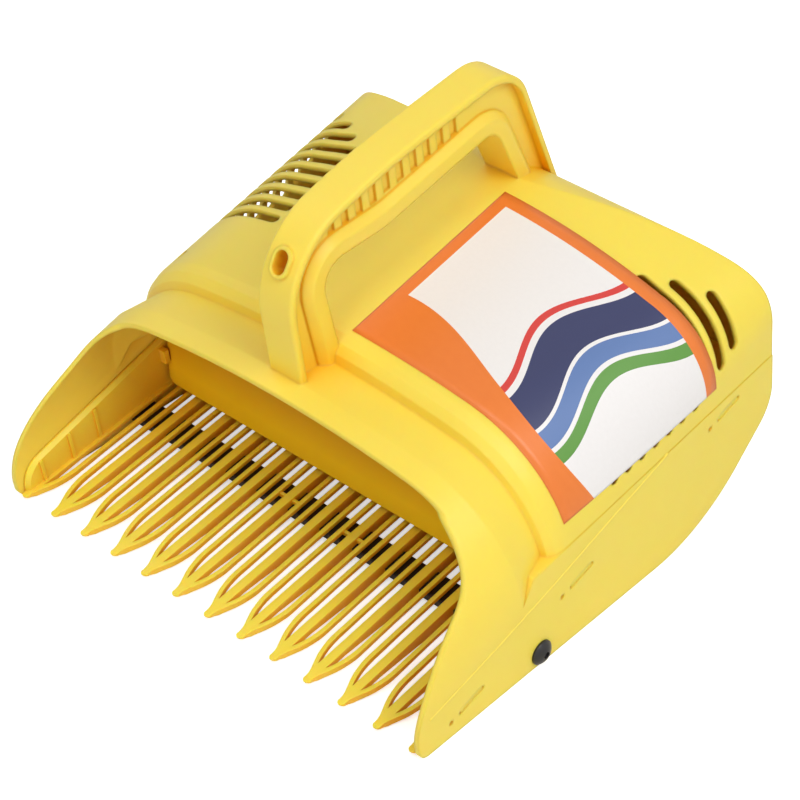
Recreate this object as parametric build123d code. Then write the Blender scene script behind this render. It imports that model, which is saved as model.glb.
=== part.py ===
from build123d import *
import os
from math import cos, degrees, hypot, atan2, radians, sin, sqrt, tan

# A hand-held berry rake: a comb tray snapped into an arched shell with a handle on top, a bar under
# the teeth and a flap that lets berries in and keeps them from falling out again.
#
# All sizes are in mm. The pieces are drawn with the top of the comb level at Z = 0, the tooth tips on
# Y = 0 and X across. At the end the whole part is turned by the skirt angle so that it stands on its
# lower edges, and is centred over the origin.

# Comb
tooth_pitch = 17.5
tooth_count = 11
tooth_half_width = 7.0
tooth_length = 86.0
tooth_full_y = 28.0
tooth_flank = [(2.35, 6.0), (4.1, 10.0), (5.55, 14.0), (6.55, 18.5)]
tip_half_width = 1.6
tip_nub_length = 2.2
leg_width = 1.9
rib_half_width = 1.9
comb_depth = 2.8
leg_depth = 1.8
leg_taper_end = 42.0
rib_depth_at_tip = 0.8
rib_depth_growth = 0.099
rib_depth_max = 6.4
tip_depth = 0.5
tip_taper_length = 5.0
slot_start = 9.5
deck_length = 6.0

# Walls and fits
shell_wall = 2.0
tray_wall = 2.2
flange_wall = 2.4
side_gap = 0.3
comb_half = tooth_pitch * (tooth_count + 1) / 2
tray_half = comb_half + flange_wall
inner_half = tray_half + side_gap
half_width = inner_half + shell_wall

# Side outline of the body
skirt_angle = 7.7
skirt_drop = 2.8
back_y = 213.0
ramp_angle = 36.0
ramp_top = 9.4
pan_radius = 74.0
heel_radius = 20.0
riser_angle = 45.0
crown_corner_radius = 32.0
back_seam = 30.0

# Arch of the shell: a hood over the mouth, a groove, a rounded step and the main barrel
crown_radius_front = 420.0
crown_radius_back = 260.0
cheek_top_at_groove = 28.4
cheek_slope = 0.176
hood_start_y = -10.0
lip_y = 51.0
crease_y = 60.0
groove_y = 77.0
hood_start_crown = 74.6
crease_crown = 80.4
groove_crown = 78.5
groove_inset = 5.0
step_length = 8.0
step_stations = 3
main_crown_front = 86.9
main_crown_slope = 0.075
main_inset = 0.3
main_y = groove_y + step_length
roof_cut_lift = 0.6

# Ledge where the arch meets the flat cheeks
ledge_z = 35.0
ledge_front_y = 67.0
ledge_foot_y = 60.0

# Handle: an outer plate and a bar around the hand hole, joined by a thinner web
plate_half_width = 8.5
plate_thick = 3.0
plate_edge_chamfer = 0.9
web_half_width = 4.5
hand_bar_width = 9.0
hand_bar_slope = 3.0
grip_front_angle = 7.0
rear_leg_angle = -74.6
front_bend_radius = 36.0
grip_bend_radius = 300.0
rear_bend_radius = 22.0
handle_foot_z = 74.0
handle_front = 59.5
handle_top = 147.2
handle_middle_y = 120.0
handle_rear_y = 190.3
hand_front_y = 77.0
hand_rear_y = 175.0
hand_slope = (0.09, 0.33)
hand_top = (124.0, 125.0)
hand_bulge = (112.0, 120.4)
hand_radius = (10.0, 60.0, 9.0)
notch_count = 10
notch_pitch = 7.5
notch_first_y = 88.6
notch_size = (3.6, 13.0)
notch_depth = 1.2
eye_turn = 38.4
eye_size = (9.5, 6.0)
eye_rim_width = 1.5
eye_rim_height = 1.4
eye_cut = 24.0

# Bar under the comb and its screws
bar_y = 67.3
bar_z = -5.6
bar_width = 11.4
bar_thick = 4.6
bar_edge_radius = 0.8
bar_gap = 0.2
clip_thick = 1.4
screw_head_radius = 5.2
screw_head_height = 3.0
screw_rim = 0.8
screw_radius = 2.0
screw_length = 18.0
screw_recess_radius = 1.5
screw_recess_depth = 1.2
screw_hole_gap = 0.2

# Flap and its pin
hinge_y = 93.2
hinge_z = 68.1
pin_radius = 2.0
pin_running_gap = 0.05
pin_seat_x = 88.5
pin_head_radius = 2.9
pin_head_height = 2.4
pin_head_gap = 0.4
pin_tip_gap = 0.5
boss_radius = 4.8
boss_end_x = 84.5
boss_depth = 3.0
knuckle_radius = 4.0
knuckle_middle = 20.0
knuckle_side = 58.0
knuckle_gap = 0.4
flap_thick = 2.0
flap_floor_gap = 1.2
flap_side_gap = 1.6
flap_boss_gap = 1.0
flap_wing = 4.5
flap_widest_z = -37.0
flap_bulge = (13.5, -17.0)
flap_corner_radius = 4.0
flap_rib = (2.0, 4.0)
flap_rib_x = 56.0

# Snaps between the tray and the cheeks
slit_line_z = 3.9
slit_line_y = 29.0
slit_slope = 0.159
slit_size = (14.0, 2.2)
slit_y = (29.0, 93.0, 184.0)
slit_eye_radius = 1.1
slit_eye_ahead = 4.5
hook_height = 1.5
hook_end_gap = 0.8
hook_reach = 1.7
flange_front_y = 3.0
flange_over_slit = 11.0
flange_front_radius = 12.0
flange_chamfer = 1.6
ridge_y = (12.1, 28.0, 42.8)
ridge_height = 0.8
ridge_width = 1.6
stop_z = (13.0, 20.0)
stop_size = (3.4, 2.4)
stop_gap = 0.4

# Air slots over the shoulders; the last ones are shorter at both ends
vent_count = 10
vent_short_count = 3
vent_first_y = 121.2
vent_level_z = 84.0
vent_pitch = 8.0
vent_width = 5.0
vent_top_x = 63.0
vent_top_step = 11.0
vent_foot_z = 43.5
vent_foot_step = 4.0
vent_cut = 24.0

# Label
label_thick = 0.3
label_left_x = 9.0
label_y = (87.6, 176.5)
label_foot_z = 45.0

far = 300.0


# Helpers

def side_solid(outline, half):
    """Extrude a closed outline drawn in the Y-Z plane to both sides of X = 0."""
    return extrude(Plane.YZ * make_face(outline), amount=half, both=True)


def rounded(*corners):
    """Closed outline from (y, z, corner radius) triples."""
    points = [(y, z) for y, z, r in corners]
    radii = [r for y, z, r in corners]
    return FilletPolyline(*points, radius=radii, close=True)


def cross(p, angle_p, q, angle_q):
    """Crossing point of two lines, each given by a point and an angle in degrees."""
    ap, aq = radians(angle_p), radians(angle_q)
    along = ((q[0] - p[0]) * sin(aq) - (q[1] - p[1]) * cos(aq)) / sin(aq - ap)
    return (p[0] + along * cos(ap), p[1] + along * sin(ap))


def shift(p, angle, inset):
    """Move a point to the left of a direction by the inset."""
    a = radians(angle)
    return (p[0] - inset * sin(a), p[1] + inset * cos(a))


def rod(radius, x0, x1, y, z):
    """Cylinder along X."""
    along_x = Pos(x0, y, z) * Rot(0, 90, 0)
    return along_x * Cylinder(radius, x1 - x0, align=(Align.CENTER, Align.CENTER, Align.MIN))


def block(x0, x1, y0, y1, z0, z1):
    """Box between two corners."""
    size = (x1 - x0, y1 - y0, z1 - z0)
    return Pos(x0, y0, z0) * Box(*size, align=(Align.MIN, Align.MIN, Align.MIN))


def both_sides(part):
    """A right-hand feature together with its mirror image."""
    return part + mirror(part, about=Plane.YZ)


def cheek_top(y):
    """Height at which the arch leaves its flat sides."""
    return cheek_top_at_groove + cheek_slope * (y - groove_y)


def dome_radius(y):
    """Radius of the crown across X; the crown is rounder towards the back."""
    along = max(0.0, (y - main_y) / (back_y - main_y))
    return crown_radius_front + (crown_radius_back - crown_radius_front) * along


def main_crown(y):
    return main_crown_front + main_crown_slope * (y - main_y)


def slit_z(y):
    return slit_line_z + slit_slope * (y - slit_line_y)


def skirt_z(y):
    return -skirt_drop - y * tan(radians(skirt_angle))


def flange_top(y):
    return slit_z(y) + flange_over_slit


# Shell

def arch_arcs(y, crown, half):
    """Radius and centre (x, z) of the shoulder and of the crown of the section at y."""
    shoulder_z = cheek_top(y)
    crown_radius = dome_radius(y)
    depth = shoulder_z - crown + crown_radius
    shoulder = (crown_radius ** 2 - half ** 2 - depth ** 2) / (2 * (crown_radius - half))
    return shoulder, half - shoulder, shoulder_z, crown_radius, crown - crown_radius


def arch(y, crown, half, inset=0.0):
    """Section of the shell across X: flat sides, round shoulders and a slightly domed crown."""
    shoulder, shoulder_x, shoulder_z, crown_radius, crown_z = arch_arcs(y, crown, half)
    depth = shoulder_z - crown_z
    reach = (crown_radius - inset) / hypot(shoulder_x, depth)
    meet = (shoulder_x * reach, crown_z + depth * reach)
    turn = atan2(depth, shoulder_x) / 2
    middle = (shoulder_x + (shoulder - inset) * cos(turn), shoulder_z + (shoulder - inset) * sin(turn))
    side = half - inset
    low = -far / 4

    def at(x, z):
        return (x, y, z)

    return make_face([
        Line(at(-side, low), at(side, low)),
        Line(at(side, low), at(side, shoulder_z)),
        ThreePointArc(at(side, shoulder_z), at(*middle), at(*meet)),
        ThreePointArc(at(*meet), at(0, crown - inset), at(-meet[0], meet[1])),
        ThreePointArc(at(-meet[0], meet[1]), at(-middle[0], middle[1]), at(-side, shoulder_z)),
        Line(at(-side, shoulder_z), at(-side, low)),
    ])


def main_barrel(inset=0.0, late=0.0):
    """The arch behind the step, running out past the back."""
    start, end = main_y + late, back_y + heel_radius
    half = half_width - main_inset
    return loft([arch(y, main_crown(y), half, inset) for y in (start, end)], ruled=True)


def barrel(inset=0.0):
    """The whole arch; the inner one steps up later, so that the step keeps its wall."""
    sections = [arch(hood_start_y, hood_start_crown, half_width, inset)]
    sections.append(arch(crease_y, crease_crown, half_width, inset))
    for i in range(step_stations + 1):
        turn = radians(90 * i / step_stations)
        y = groove_y + inset + step_length * (1 - cos(turn))
        crown = groove_crown + (main_crown(y) - groove_crown) * sin(turn)
        half = half_width - groove_inset + (groove_inset - main_inset) * sin(turn)
        sections.append(arch(y, crown, half, inset))
    return loft(sections, ruled=True) + main_barrel(inset, inset)


def cheeks(half, inset=0.0):
    """Flat-sided lower body up to the ledge; in front the ledge runs out into the hood."""
    top = ledge_z - inset
    front = -far / 10
    end = back_y + heel_radius
    return side_solid(Polyline(
        (front, -far / 4), (end, -far / 4), (end, top), (ledge_front_y + inset, top),
        (ledge_foot_y + inset, cheek_top(ledge_foot_y) - inset), (front, cheek_top(front) - inset),
        close=True,
    ), half)


def body_corners(inset):
    """Corners of the side outline: skirt line, ramp up to the heel, back."""
    skirt = shift((0, -skirt_drop), -skirt_angle, inset)
    ramp = shift((back_y, ramp_top), ramp_angle, inset)
    back = (back_y - inset, ramp_top)
    return skirt, cross(skirt, -skirt_angle, ramp, ramp_angle), cross(ramp, ramp_angle, back, 90)


def body_outline():
    front, ramp_foot, heel = body_corners(0)
    rise = main_crown(back_y) + roof_cut_lift
    over_front = rise - main_crown_slope * (back_y - groove_y)
    return rounded(
        (0, front[1], 0),
        (*ramp_foot, pan_radius),
        (*heel, heel_radius),
        (back_y, rise, crown_corner_radius),
        (groove_y, over_front, 0),
        (-far / 10, far / 2, 0),
        (-far / 10, front[1], 0),
    )


def tray_room():
    """Room between the cheeks for the side walls of the tray."""
    front, end, low = -far / 10, back_y + heel_radius, -far / 4
    return side_solid(Polyline(
        (front, low), (end, low), (end, flange_top(end) + side_gap), (front, flange_top(front) + side_gap),
        close=True,
    ), inner_half)


def cavity():
    """Space inside the shell, open below and in front."""
    roof = main_crown(back_y) + roof_cut_lift - shell_wall
    room = rounded(
        (-far / 10, -far / 4, 0),
        (back_y + heel_radius, -far / 4, 0),
        (back_y + heel_radius, back_seam, 0),
        (back_y - shell_wall, back_seam, 0),
        (back_y - shell_wall, roof, crown_corner_radius - shell_wall),
        (groove_y, roof - main_crown_slope * (back_y - groove_y), 0),
        (-far / 10, far / 2, 0),
    )
    inside = barrel(shell_wall) + cheeks(inner_half, shell_wall) + tray_room()
    return inside & side_solid(room, half_width)


def mouth_cut():
    """Everything in front of the curved rim of the mouth."""
    chin, nose, brow = (6, skirt_z(6)), (0, 3), (lip_y, 82)
    bends = [(1.5, 13), (8, 24), (26, 39.5), (42, 52), (49, 66)]
    rim = Spline(nose, *bends, brow, tangents=[(-0.1, 1), (0, 1)])
    front, top, low = -far / 8, far / 2, -far / 8
    edge = Polyline(brow, (lip_y, top), (front, top), (front, low), (chin[0], low), chin)
    tip = ThreePointArc(chin, (1.4, -1.6), nose)
    return side_solid(rim + edge + tip, half_width + 1)


def front_bend_centre():
    """Centre of the bend of the handle's outer line over the front leg."""
    _, corner_z = cross((handle_front, 0), 90, (handle_middle_y, handle_top), grip_front_angle)
    drop = front_bend_radius * tan(radians(90 - grip_front_angle) / 2)
    return handle_front + front_bend_radius, corner_z - drop


def handle_path(inset=0.0):
    """Outer line of the handle, from the front foot over the grip to the rear foot."""
    front = handle_front + inset
    middle = (handle_middle_y, handle_top - inset)
    rear = shift((handle_rear_y, handle_top), rear_leg_angle, -inset)
    front_top = cross((front, 0), 90, middle, grip_front_angle)
    rear_top = cross(middle, 0, rear, rear_leg_angle)
    rear_foot = cross(rear, rear_leg_angle, (0, handle_foot_z), 0)
    return rounded(
        (front, handle_foot_z, 0),
        (*front_top, front_bend_radius - inset),
        (*middle, grip_bend_radius),
        (*rear_top, rear_bend_radius - inset),
        (*rear_foot, 0),
    )


def hand_hole():
    """Outline of the hand hole; its upper side bulges down a little into the palm."""
    under = ledge_z
    front_shift = hand_slope[0] * (hand_top[0] - under)
    rear_shift = hand_slope[1] * (hand_top[1] - under)
    return make_face(rounded(
        (hand_front_y + front_shift, under, 0),
        (hand_front_y, hand_top[0], hand_radius[0]),
        (*hand_bulge, hand_radius[1]),
        (hand_rear_y, hand_top[1], hand_radius[2]),
        (hand_rear_y + rear_shift, under, 0),
    ))


def notch_middle(i):
    """Height of a notch's middle, so that it meets the underside of the plate."""
    ahead = max(0.0, handle_middle_y - notch_first_y - notch_pitch * i)
    plate_z = handle_top - ahead * tan(radians(grip_front_angle)) - plate_thick
    return plate_z - notch_size[1] / 2


def handle():
    """Grip on two legs: outer plate, thin web with a row of notches, bar around the hand hole."""
    slab = side_solid(handle_path(), plate_half_width)
    rims = [e for e in slab.edges()
            if abs(abs(e.center().X) - plate_half_width) < 0.01 and e.center().Z > handle_foot_z + 1]
    inside = side_solid(handle_path(plate_thick), plate_half_width + 1)
    plate = chamfer(rims, plate_edge_chamfer) - inside
    side = Plane.YZ.offset(web_half_width)
    notches = [Pos(notch_first_y + notch_pitch * i, notch_middle(i)) * Rectangle(*notch_size)
               for i in range(notch_count)]
    pockets = extrude(side * Sketch(children=notches), amount=-notch_depth)
    web = side_solid(handle_path(), web_half_width) - both_sides(pockets)
    hole = hand_hole()
    bar = extrude(Plane.YZ * offset(hole, amount=hand_bar_width), amount=plate_half_width, both=True)
    outer_edges = [e for e in bar.edges() if abs(abs(e.center().X) - plate_half_width) < 0.01]
    bar = chamfer(outer_edges, hand_bar_slope)
    bar &= block(-far, far, 0, far, handle_foot_z, far)
    return plate + web + bar - extrude(Plane.YZ * hole, amount=far, both=True)


def eye_plane():
    """Plane of the hanging eye, lying on the outside of the front bend."""
    y, z = front_bend_centre()
    out_y, out_z = -cos(radians(eye_turn)), sin(radians(eye_turn))
    middle = (0, y + front_bend_radius * out_y, z + front_bend_radius * out_z)
    return Plane(origin=middle, x_dir=(1, 0, 0), z_dir=(0, out_y, out_z))


def hanging_eye():
    """Obround hole through the front bend of the handle, with a raised rim."""
    middle = eye_plane()
    length, width = eye_size
    collar = middle * SlotOverall(length + 2 * eye_rim_width, width + 2 * eye_rim_width, rotation=90)
    rim = extrude(collar, amount=eye_rim_height) + extrude(collar, amount=-plate_thick)
    hole = extrude(middle * SlotOverall(length, width, rotation=90), amount=eye_cut, both=True)
    return rim, hole


def vents():
    """Slots over the right shoulder, upright on the standing part; the last ones are shorter."""
    half = half_width - main_inset
    lean = tan(radians(skirt_angle))
    cuts = []
    for i in range(vent_count):
        y = vent_first_y + vent_pitch * i
        short = max(0, i - vent_count + vent_short_count + 1)
        shoulder, shoulder_x, shoulder_z, _, _ = arch_arcs(y, main_crown(y), half)
        foot_z = vent_foot_z + vent_foot_step * short
        foot_x = shoulder_x + sqrt(shoulder ** 2 - (foot_z - shoulder_z) ** 2)
        top_x = vent_top_x + vent_top_step * short
        top_z = shoulder_z + sqrt(shoulder ** 2 - max(0.0, top_x - shoulder_x) ** 2)
        along = Vector(foot_x - top_x, lean * (foot_z - top_z), foot_z - top_z)
        outward = Vector(top_z - foot_z, lean * (foot_x - top_x), foot_x - top_x).normalized()
        middle_z = (top_z + foot_z) / 2
        centre = Vector((top_x + foot_x) / 2, y + lean * (middle_z - vent_level_z), middle_z)
        plane = Plane(origin=centre, x_dir=along, z_dir=(-along.Z, 0, along.X))
        outline = plane * SlotOverall(along.length, vent_width)
        cuts.append(extrude(outline, amount=vent_cut, dir=outward, both=True))
    return cuts


def slits():
    """Snap slits in the right cheek, each with a small round hole ahead of it."""
    angle = degrees(atan2(slit_slope, 1))
    shapes = []
    for y in slit_y:
        shapes.append(Pos(y, slit_z(y)) * SlotOverall(*slit_size, rotation=angle))
        ahead = y - slit_size[0] / 2 - slit_eye_ahead
        shapes.append(Pos(ahead, slit_z(ahead)) * Circle(slit_eye_radius))
    return extrude(Plane.YZ.offset(inner_half - 1) * Sketch(children=shapes), amount=shell_wall + 2)


def shell():
    outer = (barrel() + cheeks(half_width)) & side_solid(body_outline(), half_width + 1)
    bosses = both_sides(rod(boss_radius, boss_end_x, half_width, hinge_y, hinge_z)) & outer
    eye_rim, eye_hole = hanging_eye()
    body = outer + handle() + eye_rim
    body -= cavity()
    body += bosses
    body -= mouth_cut()
    body -= eye_hole
    for cut in vents():
        body -= both_sides(cut)
    body -= both_sides(slits())
    body -= both_sides(rod(screw_radius + screw_hole_gap, inner_half - 1, half_width + 1, bar_y, bar_z))
    body -= rod(pin_radius, -half_width, boss_end_x + boss_depth + pin_tip_gap, hinge_y, hinge_z)
    body -= rod(pin_head_radius + pin_head_gap, -half_width, -pin_seat_x, hinge_y, hinge_z)
    return body


# Comb tray

def tooth_outline(x):
    """Leaf-shaped tooth with a small round nub at its tip."""
    flank = [(tip_half_width, tip_nub_length), *tooth_flank, (tooth_half_width, tooth_full_y)]
    right = Spline(*[(x + dx, y) for dx, y in flank], tangents=[(0, 1), (0, 1)])
    left = Spline(*[(x - dx, y) for dx, y in flank], tangents=[(0, 1), (0, 1)])
    nub = ThreePointArc((x - tip_half_width, tip_nub_length), (x, 0), (x + tip_half_width, tip_nub_length))
    outer, inner, end = x + tooth_half_width, x - tooth_half_width, tooth_length + 1
    back = Polyline((outer, tooth_full_y), (outer, end), (inner, end), (inner, tooth_full_y))
    return make_face(nub + right + back + left)


def tooth_slot(x, side):
    """Long slot between the middle rib and one leg; it runs out to a point where the leg meets the rib."""
    rib_edge = x + side * rib_half_width
    leg_edge = x + side * (tooth_half_width - leg_width)
    behind = [(x + side * (dx - leg_width), y) for dx, y in tooth_flank if y > slot_start + 1]
    outside = Spline((rib_edge, slot_start), *behind, (leg_edge, tooth_full_y))
    back = Polyline(
        (leg_edge, tooth_full_y), (leg_edge, tooth_length), (rib_edge, tooth_length), (rib_edge, slot_start))
    return make_face(outside + back)


def rib(x):
    """Middle rib, as deep as the tooth in front and deeper towards the deck."""
    front = tip_taper_length
    start = (comb_depth - rib_depth_at_tip) / rib_depth_growth
    full = (rib_depth_max - rib_depth_at_tip) / rib_depth_growth
    end = tooth_length + deck_length
    outline = Polyline(
        (front, -tip_depth), (end, -tip_depth), (end, -rib_depth_max), (full, -rib_depth_max),
        (start, -comb_depth), (front, -comb_depth), close=True)
    return extrude(Plane.YZ.offset(x) * make_face(outline), amount=rib_half_width, both=True)


def comb():
    xs = [tooth_pitch * (i - tooth_count // 2) for i in range(-1, tooth_count + 1)]
    band = Rectangle(2 * tray_half, deck_length, align=(Align.CENTER, Align.MIN))
    flat = Pos(0, tooth_length) * band
    for x in xs:
        flat += tooth_outline(x)
    for x in xs:
        flat -= tooth_slot(x, -1)
        flat -= tooth_slot(x, 1)
    flat &= Pos(0, tooth_length / 2) * Rectangle(2 * tray_half, 3 * tooth_length)
    teeth = extrude(flat, amount=-comb_depth)
    end = tooth_length + deck_length
    underside = Polyline(
        (0, -tip_depth), (tip_taper_length, -comb_depth), (leg_taper_end, -leg_depth), (end, -leg_depth),
        (end, -far), (0, -far), close=True)
    teeth -= side_solid(underside, tray_half + 1)
    for x in xs[1:-1]:
        teeth += rib(x)
    clip_y = bar_y - bar_width / 4
    for x in (-tooth_pitch, tooth_pitch):
        half = tooth_half_width - leg_width / 2
        teeth += block(x - half, x + half, clip_y, clip_y + clip_thick, -comb_depth, -rib_depth_at_tip)
    return teeth


def pan():
    """Bottom of the collecting space: sloping riser behind the deck, floor, ramp and back."""
    skirt_out, foot_out, heel_out = body_corners(0)
    skirt_in, foot_in, heel_in = body_corners(tray_wall)
    start = tooth_length + deck_length
    front = start - tray_wall / sin(radians(riser_angle))
    seam = back_seam - side_gap
    outer = rounded(
        (front, 0, 0),
        (*cross((front, 0), -riser_angle, skirt_out, -skirt_angle), 0),
        (*foot_out, pan_radius),
        (*heel_out, heel_radius),
        (back_y, seam, 0),
        (front, seam, 0),
    )
    inner = rounded(
        (start, 0, 0),
        (*cross((start, 0), -riser_angle, skirt_in, -skirt_angle), 0),
        (*foot_in, pan_radius - tray_wall),
        (*heel_in, heel_radius - tray_wall),
        (back_y - tray_wall, seam + 1, 0),
        (start, seam + 1, 0),
    )
    trough = side_solid(outer, tray_half) - side_solid(inner, tray_half + 1)
    return trough - block(-far, far, 0, start + 1, 0, far)


def flange_wall_solid():
    """Right side wall of the tray, with its upper inner edge sloped off."""
    start = tooth_length + deck_length - tray_wall
    front = flange_front_y
    _, foot, heel = body_corners(0)
    rear = back_y - shell_wall - side_gap
    seam = back_seam - side_gap
    beside_comb = rounded(
        (front, -comb_depth, 0),
        (start, -comb_depth, 0),
        (start, flange_top(start), 0),
        (front, flange_top(front), flange_front_radius),
    )
    beside_pan = rounded(
        (start, skirt_z(start), 0),
        (*foot, pan_radius),
        (*heel, heel_radius),
        (back_y, seam, 0),
        (rear, seam, 0),
        (rear, flange_top(rear), 0),
        (start, flange_top(start), 0),
    )
    outline = make_face(beside_comb) + make_face(beside_pan)
    wall = extrude(Plane.YZ.offset(comb_half) * outline, amount=flange_wall)
    upper = [e for e in wall.edges() if abs(e.center().X - comb_half) < 0.01
             and abs(e.center().Z - flange_top(e.center().Y)) < 0.01]
    return chamfer(upper, flange_chamfer)


def flange():
    """Right side wall with the snap hooks, the ridges beside the teeth and the flap's stop."""
    wall = flange_wall_solid()
    slope = degrees(atan2(slit_slope, 1))
    for y in slit_y:
        hook = Pos(y, slit_z(y)) * Rectangle(slit_size[0] - 2 * hook_end_gap, hook_height, rotation=slope)
        wall += extrude(Plane.YZ.offset(comb_half + 1) * hook, amount=flange_wall - 1 + side_gap + hook_reach)
    inside = comb_half + flange_wall / 4
    for y in ridge_y:
        top = flange_top(y) - flange_chamfer
        wall += block(comb_half - ridge_height, inside, y - ridge_width / 2, y + ridge_width / 2, -1, top)
    low, high = stop_z
    reach, length = stop_size
    flap_front = hinge_y - (hinge_z - low) * tan(radians(skirt_angle)) - flap_thick
    wall += block(comb_half - reach, inside, flap_front - stop_gap - length, flap_front - stop_gap, low, high)
    return wall


def comb_tray():
    tray = comb() + pan() + both_sides(flange())
    reach = bar_width / 2 + bar_gap
    top = bar_z + bar_thick / 2 + bar_gap / 2
    return tray - block(-far, far, bar_y - reach, bar_y + reach, -far, top)


# Bar, screws, flap and label

def cross_bar():
    bar = Pos(0, bar_y, bar_z) * Box(2 * inner_half, bar_width, bar_thick)
    bar = fillet(bar.edges().filter_by(Axis.X), bar_edge_radius)
    holes = rod(screw_radius, half_width - screw_length, far, bar_y, bar_z)
    return bar - both_sides(holes)


def bar_screws():
    """Two equal screws with domed heads and a small recess."""
    rim, top = (screw_head_radius, screw_rim), (0, screw_head_height)
    dome = ThreePointArc(rim, (0.62 * screw_head_radius, 0.8 * screw_head_height), top)
    outline = Polyline((0, 0), (screw_head_radius, 0), rim) + dome + Line(top, (0, 0))
    screw = revolve(Plane.XZ * make_face(outline), Axis.Z)
    screw += Cylinder(screw_radius, screw_length, align=(Align.CENTER, Align.CENTER, Align.MAX))
    screw -= Pos(0, 0, screw_head_height) * Cylinder(screw_recess_radius, 2 * screw_recess_depth)
    right = Pos(half_width, bar_y, bar_z) * Rot(0, 90, 0) * screw
    return [right, mirror(right, about=Plane.YZ)]


def hang(part):
    """Bring a piece drawn about the hinge axis into place, hanging straight down on the table."""
    return Pos(0, hinge_y, hinge_z) * Rot(-skirt_angle, 0, 0) * part


def flap():
    """Hanging sheet with knuckles on the pin and stiffening ribs; it is cut away around the bosses."""
    low = -(hinge_z - flap_floor_gap) / cos(radians(skirt_angle))
    side = comb_half - flap_side_gap
    top = boss_end_x - pin_tip_gap
    notch = -boss_radius - flap_boss_gap
    wing = top + flap_wing
    bulge_x, bulge_z = top + flap_bulge[0], flap_bulge[1]
    wide = flap_widest_z
    edge = Polyline((-wing, notch), (-top, notch), (-top, 0), (top, 0), (top, notch), (wing, notch))
    edge += ThreePointArc((wing, notch), (bulge_x, bulge_z), (side, wide))
    edge += FilletPolyline((side, wide), (side, low), (-side, low), (-side, wide), radius=flap_corner_radius)
    edge += ThreePointArc((-side, wide), (-bulge_x, bulge_z), (-wing, notch))
    sheet = extrude(Plane.XZ * make_face(edge), amount=flap_thick)
    rib_half, rib_height = flap_rib[0] / 2, flap_rib[1]
    rib_low = low + 2 * flap_corner_radius
    for x in (-flap_rib_x, 0, flap_rib_x):
        sheet += block(x - rib_half, x + rib_half, -flap_thick / 2, rib_height, rib_low, -pin_radius)
    for x0, x1 in ((-top, -knuckle_side), (-knuckle_middle, knuckle_middle), (knuckle_side, top)):
        sheet += rod(knuckle_radius, x0, x1, 0, 0)
    window = block(
        knuckle_middle + knuckle_gap, knuckle_side - knuckle_gap,
        -2 * knuckle_radius, 2 * knuckle_radius, -knuckle_radius - flap_boss_gap, knuckle_radius,
    )
    sheet -= both_sides(window)
    sheet -= rod(pin_radius + pin_running_gap, -far, far, 0, 0)
    return hang(sheet)


def flap_pin():
    """Pin pushed in from the left, with a low domed head."""
    pin = rod(pin_radius, -pin_seat_x, boss_end_x + boss_depth, hinge_y, hinge_z)
    head = rod(pin_head_radius, -pin_seat_x - pin_head_height, -pin_seat_x, hinge_y, hinge_z)
    rim = head.edges().filter_by(GeomType.CIRCLE).sort_by(Axis.X)[0]
    return pin + fillet(rim, pin_head_height / 2)


def label():
    """Thin label over the right shoulder, lying on the outside of the shell."""
    start, end = label_y
    sheet = main_barrel(-label_thick) - main_barrel()
    return sheet & block(label_left_x, far, start, end, label_foot_z, far)


# Assembly

def stand_on_table(pieces):
    """Turn every piece so that the skirt line is level, then centre the part over the origin."""
    turned = {name: [Rot(skirt_angle, 0, 0) * s for s in solids] for name, solids in pieces.items()}
    box = Compound(children=[s for solids in turned.values() for s in solids]).bounding_box()
    move = Pos(-(box.min.X + box.max.X) / 2, -(box.min.Y + box.max.Y) / 2, -box.min.Z)
    return {name: [move * s for s in solids] for name, solids in turned.items()}, move


pieces = {
    "shell": [shell()],
    "comb_tray": [comb_tray()],
    "cross_bar": [cross_bar()],
    "bar_screws": bar_screws(),
    "flap": [flap()],
    "flap_pin": [flap_pin()],
    "label": [label()],
}
placed, move = stand_on_table(pieces)

os.makedirs("parts", exist_ok=True)
for name, solids in placed.items():
    shape = Compound(children=[s for part in solids for s in part.solids()])
    export_step(shape, f"parts/{name}.step")
    box = shape.bounding_box()
    print(name, len(shape.solids()), "solids", round(shape.volume / 1000, 1), "cm3", box.min, box.max)

hinge = move * Rot(skirt_angle, 0, 0) * Vertex(0, hinge_y, hinge_z)
screw = move * Rot(skirt_angle, 0, 0) * Vertex(0, bar_y, bar_z)
print("hinge axis at", hinge.center(), "screw axis at", screw.center())
eye = move * Rot(skirt_angle, 0, 0) * Vertex(*eye_plane().origin)
print("hanging eye at", eye.center())
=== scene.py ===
from math import atan2, cos, pi, radians, sin

import bmesh
import bpy
from mathutils import Matrix, Vector


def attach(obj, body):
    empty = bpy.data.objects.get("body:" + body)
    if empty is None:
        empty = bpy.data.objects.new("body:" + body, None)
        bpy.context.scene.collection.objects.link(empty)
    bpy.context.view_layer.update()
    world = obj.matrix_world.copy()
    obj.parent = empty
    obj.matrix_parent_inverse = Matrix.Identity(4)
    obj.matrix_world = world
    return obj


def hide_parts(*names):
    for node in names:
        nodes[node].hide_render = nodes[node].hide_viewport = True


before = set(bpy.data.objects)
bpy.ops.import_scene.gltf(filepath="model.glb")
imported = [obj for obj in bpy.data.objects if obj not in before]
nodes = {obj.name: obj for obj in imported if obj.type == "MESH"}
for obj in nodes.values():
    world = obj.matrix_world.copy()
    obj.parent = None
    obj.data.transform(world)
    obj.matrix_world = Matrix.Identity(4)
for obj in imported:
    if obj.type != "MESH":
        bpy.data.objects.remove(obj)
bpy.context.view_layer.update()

# The part was drawn with its comb level and then turned onto its lower edges. Lengths here are in metres.
tilt = radians(7.7)
shift = Vector((0, -0.1038713, 0.0027743))
to_row = Matrix.Translation(shift) @ Matrix.Rotation(tilt, 4, "X")

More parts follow.
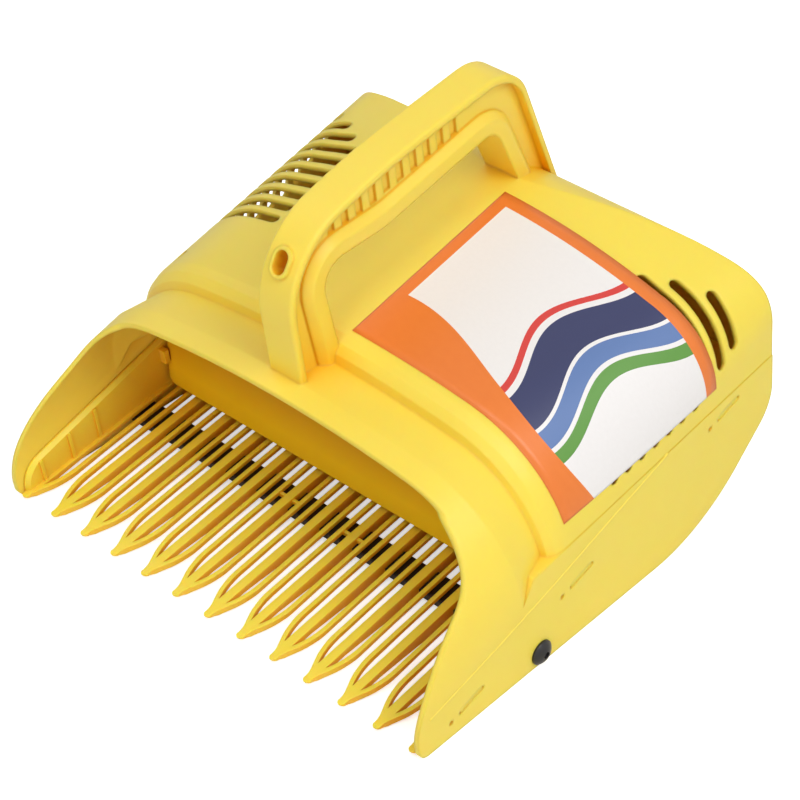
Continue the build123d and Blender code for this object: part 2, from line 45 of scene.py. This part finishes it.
# Shape of the shell under the label, as in the part's source: a ruled barrel between two sections
barrel_half = 0.1094
barrel_start, barrel_end = 0.085, 0.233
back_y = 0.213
crown_height, crown_slope = 0.0869, 0.075
crown_radius_front, crown_radius_back = 0.420, 0.260
shoulder_height, shoulder_slope = 0.0298, 0.176

# Label: its edges on the barrel, how far its outside stands off the barrel, and the thickness of its paper
label_start, label_end = 0.0876, 0.1765
label_left_x = 0.009
label_foot_z = 0.045
label_lift = 0.0003
label_thick = 0.00022

# White panel of the label, as shares of its breadth and length
panel_left, panel_back = 0.045, 0.93

# Ribbons on the label: middle and half width as shares of its breadth, and colour
ribbons = [
    (0.48, 0.012, (0.66, 0.050, 0.040)),
    (0.58, 0.065, (0.030, 0.036, 0.110)),
    (0.69, 0.032, (0.115, 0.200, 0.430)),
    (0.76, 0.022, (0.115, 0.300, 0.050)),
]

# Thin bead along each cheek: its points (y, z), half width and height, on the flat outside of the cheek
cheek_x = 0.1097
bead_line = [(0.0075, 0.0138), (0.0467, 0.0182), (0.0790, 0.0230), (0.1090, 0.0283), (0.1460, 0.0346)]
bead_half, bead_height = 0.0009, 0.0003

# Range that most values of a noise texture lie in
noise_low, noise_high = 0.3, 0.7

# Yellow plastic: how far light goes under its surface, and the share of that for red, green and blue
scatter_depth = 0.004
scatter_shares = (1.0, 0.42, 0.05)
# Share of open sky at which the plastic has its full painted shade, and how much brighter its flow marks are
hollow_share = 0.2
flow_gain = 1.05
# Strength and depth of the plastic's grain
grain_strength, grain_depth = 0.03, 0.0002

# Studio: where the lamps point, the light from all round, and the floor
lamp_aim = Vector((0, 0, 0.06))
ambient_strength = 0.34
floor_half, floor_drop = 30.0, 0.0002
floor_glow = 0.62

# Camera fitted to the photo: its place, its turn in degrees, and the focal length and picture width in pixels
camera_place = (0.505040, -0.544936, 0.633406)
camera_turn = (51.66863, 0.37559, 42.20773)
camera_shift_x, camera_shift_y = 0.00195, 0.00056
focal_pixels, picture_pixels = 2401.92, 800
sensor_mm = 36


# Helpers

class Graph:
    """Adds nodes to the tree of a new material or world, and links them."""

    def __init__(self, owner, shader="Principled BSDF"):
        owner.use_nodes = True
        self.owner = owner
        self.tree = owner.node_tree
        self.shader = self.tree.nodes[shader]

    def put(self, node, key, value):
        """Links or sets one input, which is given by its name or its number."""
        if isinstance(value, bpy.types.NodeSocket):
            self.tree.links.new(value, node.inputs[key])
        else:
            node.inputs[key].default_value = value

    def add(self, kind, **inputs):
        node = self.tree.nodes.new(kind)
        for key, value in inputs.items():
            self.put(node, key, value)
        return node

    def math(self, operation, *values):
        node = self.add("ShaderNodeMath")
        node.operation = operation
        for number, value in enumerate(values):
            self.put(node, number, value)
        return node.outputs[0]

    def noise(self, where, scale, detail=3.0):
        return self.add("ShaderNodeTexNoise", Vector=where, Scale=scale, Detail=detail).outputs["Fac"]

    def ramp(self, value, low, high, start, end):
        """Goes from start to end while the value goes from low to high."""
        node = self.add("ShaderNodeMapRange", Value=value)
        for key, number in (("From Min", low), ("From Max", high), ("To Min", start), ("To Max", end)):
            self.put(node, key, number)
        return node.outputs["Result"]

    def mix(self, factor, first, second):
        """Colour between two, each a socket or its red, green and blue; a factor of 1 gives the second."""
        node = self.add("ShaderNodeMix")
        node.data_type = "RGBA"
        self.put(node, 0, factor)
        for number, colour in ((6, first), (7, second)):
            self.put(node, number, colour if isinstance(colour, bpy.types.NodeSocket) else (*colour, 1))
        return node.outputs[2]

    def mottle(self, where, scale, first, second):
        """Colour that wanders between two over the surface."""
        return self.mix(self.noise(where, scale), first, second)

    def uneven(self, where, scale, low, high):
        """Number that wanders between two over the surface."""
        return self.ramp(self.noise(where, scale), noise_low, noise_high, low, high)

    def wave(self, along, cycles, phase, swing, middle):
        """A sine wave about a middle value."""
        turn = self.math("MULTIPLY_ADD", along, 2 * pi * cycles, phase)
        return self.math("MULTIPLY_ADD", self.math("SINE", turn), swing, middle)

    def soft_edges(self, radius, samples):
        """Normal that looks as if the edges were rounded."""
        node = self.add("ShaderNodeBevel", Radius=radius)
        node.samples = samples
        return node.outputs["Normal"]

    def object_place(self):
        return self.add("ShaderNodeTexCoord").outputs["Object"]


def new_object(name, data):
    """Object for a mesh, lamp or camera, linked into the scene."""
    made = bpy.data.objects.new(name, data)
    bpy.context.scene.collection.objects.link(made)
    return made


def new_mesh(name, points, faces):
    mesh = bpy.data.meshes.new(name)
    mesh.from_pydata(points, [], faces)
    return mesh


def set_material(obj, material):
    obj.data.materials.clear()
    obj.data.materials.append(material)


# Materials

def yellow_plastic(name, light, painted_shade, reach, open_share, own_hollows, edge_radius, glow, painted_shadow_heights=None):
    """Satin moulded plastic with faint flow marks, a fine grain, softened edges and painted shade.

    Its colour goes from light towards a darker painted shade colour where less than open_share of the sky
    within reach is open, which darkens hollows, creases and gaps between parts, and with own_hollows only the
    piece itself hides the sky.
    Given two heights it also darkens from the lower to the upper of them, a painted shadow as of the hood
    over the flap. Glow is the share of light that scatters under the surface.
    """
    g = Graph(bpy.data.materials.new(name))
    place = g.object_place()
    pale = [min(1.0, flow_gain * part) for part in light]
    lit = g.mix(g.noise(place, scale=18.0, detail=2.0), light, pale)
    # Painted shade: where less of the nearby sky is open, as in hollows, creases and between parts, the
    # colour goes towards the darker shade colour
    sky = g.add("ShaderNodeAmbientOcclusion", Distance=reach)
    sky.samples = 8
    sky.only_local = own_hollows
    depth = g.ramp(sky.outputs["AO"], hollow_share, open_share, 1.0, 0.0)
    # Painted shadow: the colour also darkens higher up, as in the hood's shadow over the flap
    if painted_shadow_heights:
        height = g.add("ShaderNodeSeparateXYZ", Vector=place).outputs["Z"]
        depth = g.math("MAXIMUM", depth, g.ramp(height, *painted_shadow_heights, 0.0, 1.0))
    g.put(g.shader, "Base Color", g.mix(depth, lit, painted_shade))
    g.put(g.shader, "Roughness", g.uneven(place, scale=60.0, low=0.36, high=0.46))
    g.put(g.shader, "Specular IOR Level", 0.4)
    g.put(g.shader, "Subsurface Weight", glow)
    g.put(g.shader, "Subsurface Radius", scatter_shares)
    g.put(g.shader, "Subsurface Scale", scatter_depth)
    grain = g.add("ShaderNodeBump", Height=g.noise(place, scale=2200.0, detail=1.0))
    g.put(grain, "Strength", grain_strength)
    g.put(grain, "Distance", grain_depth)
    g.put(grain, "Normal", g.soft_edges(edge_radius, samples=6))
    g.put(g.shader, "Normal", grain.outputs["Normal"])
    return g.owner


def black_paint(name):
    """Dark painted steel with slightly uneven gloss."""
    g = Graph(bpy.data.materials.new(name))
    place = g.object_place()
    black = g.mottle(place, scale=90.0, first=(0.006, 0.006, 0.007), second=(0.016, 0.015, 0.015))
    g.put(g.shader, "Base Color", black)
    g.put(g.shader, "Roughness", g.uneven(place, scale=140.0, low=0.28, high=0.42))
    g.put(g.shader, "Normal", g.soft_edges(radius=0.0004, samples=4))
    return g.owner


def label_print():
    """Orange ground, white panel with a wavy front edge, and a few wavy ribbons."""
    g = Graph(bpy.data.materials.new("label_print"))
    plan_map = g.add("ShaderNodeUVMap")
    plan_map.uv_map = "label_plan"
    plan = plan_map.outputs[0]
    split = g.add("ShaderNodeSeparateXYZ", Vector=plan)
    across, back = split.outputs["X"], split.outputs["Y"]
    orange = g.mottle(plan, scale=30.0, first=(0.80, 0.190, 0.026), second=(0.83, 0.215, 0.032))
    white = g.mottle(plan, scale=60.0, first=(0.84, 0.81, 0.79), second=(0.88, 0.85, 0.83))
    front_edge = g.wave(across, cycles=0.8, phase=1.1, swing=0.09, middle=0.2)
    behind_front = g.math("GREATER_THAN", back, front_edge)
    before_back = g.math("LESS_THAN", back, panel_back)
    right_of_left = g.math("GREATER_THAN", across, panel_left)
    panel = g.math("MULTIPLY", g.math("MULTIPLY", behind_front, before_back), right_of_left)
    picture = white
    for middle, half, colour in ribbons:
        away = g.math("SUBTRACT", across, g.wave(back, cycles=1.2, phase=0.6, swing=0.05, middle=middle))
        picture = g.mix(g.math("COMPARE", away, 0.0, half), picture, colour)
    g.put(g.shader, "Base Color", g.mix(panel, orange, picture))
    g.put(g.shader, "Roughness", g.uneven(plan, scale=90.0, low=0.34, high=0.42))
    return g.owner


# Label: a sheet of its own over the shoulder, so that the print has even coordinates

def arc(centre, radius, start, end, steps=80):
    """Points of an arc from one angle to another."""
    angles = [start + (end - start) * i / steps for i in range(steps + 1)]
    return [centre + radius * Vector((cos(angle), sin(angle))) for angle in angles]


def barrel_section(y):
    """Points (x, z) just outside one end section of the barrel, from its crown down its right side."""
    behind = y - barrel_start
    share = behind / (back_y - barrel_start)
    crown_radius = crown_radius_front + (crown_radius_back - crown_radius_front) * share
    crown_z = crown_height + crown_slope * behind - crown_radius
    shoulder_z = shoulder_height + shoulder_slope * behind
    # The shoulder's arc goes on from the crown's without a kink and ends upright at the barrel's half width
    depth = shoulder_z - crown_z
    shoulder_radius = (crown_radius ** 2 - barrel_half ** 2 - depth ** 2) / (2 * (crown_radius - barrel_half))
    shoulder_x = barrel_half - shoulder_radius
    joint = atan2(depth, shoulder_x)
    crown = arc(Vector((0, crown_z)), crown_radius + label_lift, pi / 2, joint)
    shoulder = arc(Vector((shoulder_x, shoulder_z)), shoulder_radius + label_lift, joint, 0.0)
    foot = shoulder[-1] - Vector((0, shoulder_z / 2))
    return crown[:-1] + shoulder + [foot]


def label_line(y, count):
    """Evenly spaced points (x, z) across the label at y, from its left edge to its foot."""
    share = (y - barrel_start) / (barrel_end - barrel_start)
    ends = zip(barrel_section(barrel_start), barrel_section(barrel_end))
    line = [front.lerp(back, share) for front, back in ends]
    # The stretch between the label's left edge and its foot
    inside = []
    for a, b in zip(line, line[1:]):
        if a.x < label_left_x < b.x:
            inside.append(a.lerp(b, (label_left_x - a.x) / (b.x - a.x)))
        if b.y < label_foot_z:
            inside.append(a.lerp(b, (label_foot_z - a.y) / (b.y - a.y)))
            break
        if b.x > label_left_x:
            inside.append(b)
    # Points at equal distances along that stretch
    reach = [0.0]
    for a, b in zip(inside, inside[1:]):
        reach.append(reach[-1] + (b - a).length)
    even = []
    k = 0
    for i in range(count + 1):
        wanted = reach[-1] * i / count
        while k < len(inside) - 2 and reach[k + 1] < wanted:
            k += 1
        even.append(inside[k].lerp(inside[k + 1], (wanted - reach[k]) / (reach[k + 1] - reach[k])))
    return even


def label_sheet(across=120, lengthways=24):
    """Thin sheet on the barrel; its chart runs across from the left edge and back from the front."""
    points, plan = [], []
    for j in range(lengthways + 1):
        y = label_start + (label_end - label_start) * j / lengthways
        for i, (x, z) in enumerate(label_line(y, across)):
            points.append(to_row @ Vector((x, y, z)))
            plan.append((i / across, j / lengthways))
    row = across + 1
    faces = []
    for j in range(lengthways):
        for i in range(across):
            corner = j * row + i
            faces.append((corner, corner + 1, corner + row + 1, corner + row))
    mesh = new_mesh("label_sheet", points, faces)
    for face in mesh.polygons:
        face.use_smooth = True
    chart = mesh.uv_layers.new(name="label_plan")
    for loop in mesh.loops:
        chart.data[loop.index].uv = plan[loop.vertex_index]
    sheet = new_object("label_sheet", mesh)
    # The paper's thickness goes inward from the sheet
    paper = sheet.modifiers.new("paper", "SOLIDIFY")
    paper.thickness = label_thick
    paper.offset = -1 if mesh.polygons[0].normal.z > 0 else 1
    return sheet


# Trim

def cheek_bead(name, side):
    """Low bead with sloped flanks on the outside of one cheek; side is 1 on the right and -1 on the left."""
    crest = bead_half / 3
    lower_flank = [(-bead_height, -bead_half), (bead_height, -crest)]
    upper_flank = [(bead_height, crest), (-bead_height, bead_half)]
    profile = lower_flank + upper_flank
    points = []
    for y, z in bead_line:
        for out, up in profile:
            points.append(to_row @ Vector((side * (cheek_x + out), y, z + up)))
    count = len(profile)
    last = len(points) - count
    faces = [tuple(range(count)), tuple(range(last, len(points)))]
    for k in range(len(bead_line) - 1):
        for i in range(count):
            a, b = k * count + i, k * count + (i + 1) % count
            faces.append((a, b, b + count, a + count))
    mesh = new_mesh(name, points, faces)
    # All faces are turned outward
    work = bmesh.new()
    work.from_mesh(mesh)
    bmesh.ops.recalc_face_normals(work, faces=work.faces)
    work.to_mesh(mesh)
    work.free()
    return new_object(name, mesh)


# Studio

def area_light(name, place, size, power):
    """Soft round lamp that points at the part."""
    data = bpy.data.lights.new(name, "AREA")
    data.shape = "DISK"
    data.size = size
    data.energy = power
    lamp = new_object(name, data)
    lamp.location = place
    lamp.rotation_euler = (lamp_aim - Vector(place)).to_track_quat("-Z", "Y").to_euler()


def white_world():
    """White where it is seen or mirrored, and a weaker light from all round on the part."""
    world = bpy.data.worlds.new("studio")
    bpy.context.scene.world = world
    g = Graph(world, "Background")
    path = g.add("ShaderNodeLightPath")
    seen = path.outputs["Is Camera Ray"]
    for ray in ("Is Glossy Ray", "Is Transmission Ray"):
        seen = g.math("MAXIMUM", seen, path.outputs[ray])
    g.put(g.shader, "Color", (1, 1, 1, 1))
    g.put(g.shader, "Strength", g.ramp(seen, 0.0, 1.0, ambient_strength, 1.0))


def pale_floor():
    """Pale paper that glows a little for the camera, so that it looks white around the part's shadow."""
    g = Graph(bpy.data.materials.new("floor_paper"))
    paper = g.mottle(g.object_place(), scale=4.0, first=(0.88, 0.88, 0.88), second=(0.90, 0.90, 0.90))
    g.put(g.shader, "Base Color", paper)
    g.put(g.shader, "Roughness", 0.9)
    g.put(g.shader, "Specular IOR Level", 0.0)
    seen = g.add("ShaderNodeLightPath").outputs["Is Camera Ray"]
    g.put(g.shader, "Emission Color", (1, 1, 1, 1))
    g.put(g.shader, "Emission Strength", g.ramp(seen, 0.0, 1.0, 0.0, floor_glow))
    far = floor_half
    corners = [(-far, -far, 0), (far, -far, 0), (far, far, 0), (-far, far, 0)]
    floor = new_object("floor", new_mesh("floor", corners, [(0, 1, 2, 3)]))
    floor.location.z = -floor_drop
    set_material(floor, g.owner)


def photo_camera():
    """Camera that sees the part as the photo does."""
    data = bpy.data.cameras.new("camera")
    data.sensor_width = sensor_mm
    data.lens = focal_pixels / picture_pixels * sensor_mm
    data.shift_x = camera_shift_x
    data.shift_y = camera_shift_y
    camera = new_object("camera", data)
    camera.location = camera_place
    camera.rotation_euler = [radians(angle) for angle in camera_turn]
    bpy.context.scene.camera = camera


# Assembly

# In each plastic the second, darker colour is painted shade for its hollows, creases and the gaps between
# parts
shell_plastic = yellow_plastic(
    "yellow_shell", light=(0.92, 0.700, 0.085), painted_shade=(0.88, 0.47, 0.004),
    reach=0.035, open_share=0.78, own_hollows=True, edge_radius=0.0018, glow=0.30)
comb_plastic = yellow_plastic(
    "yellow_comb", light=(0.97, 0.725, 0.068), painted_shade=(0.88, 0.40, 0.004),
    reach=0.050, open_share=0.70, own_hollows=False, edge_radius=0.0004, glow=0.5)
# The flap's light colour is a shaded copy of the yellow plastic, orange for the painted shade under the hood,
# and its darker colour is a near-black painted shade
shaded_flap_plastic = yellow_plastic(
    "yellow_flap_painted_shade", light=(0.97, 0.57, 0.008), painted_shade=(0.40, 0.09, 0.0005),
    reach=0.012, open_share=0.60, own_hollows=False, edge_radius=0.0005, glow=0.3, painted_shadow_heights=(0.024, 0.054))
bead_plastic = yellow_plastic(
    "yellow_bead", light=(0.90, 0.690, 0.085), painted_shade=(0.84, 0.38, 0.004),
    reach=0.002, open_share=0.58, own_hollows=True, edge_radius=0.0001, glow=0.0)
paint = black_paint("black_paint")
set_material(nodes["shell"], shell_plastic)
set_material(nodes["comb_tray"], comb_plastic)
set_material(nodes["flap"], shaded_flap_plastic)
for name in ("cross_bar", "bar_screws", "flap_pin"):
    set_material(nodes[name], paint)

sheet = label_sheet()
set_material(sheet, label_print())
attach(sheet, "body")
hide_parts("label")

for name, side in (("right_bead", 1), ("left_bead", -1)):
    bead = cheek_bead(name, side)
    set_material(bead, bead_plastic)
    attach(bead, "body")

white_world()
pale_floor()
area_light("key_light", (1.1, -0.1, 1.3), size=1.0, power=12.6)
area_light("front_fill", (0.2, -0.7, 1.6), size=0.8, power=5.8)
area_light("left_fill", (-1.1, 0.0, 1.3), size=1.0, power=2.5)
area_light("low_fill", (0.4, -1.6, 0.5), size=1.0, power=4.4)
photo_camera()
bpy.context.scene.view_settings.view_transform = "Standard"
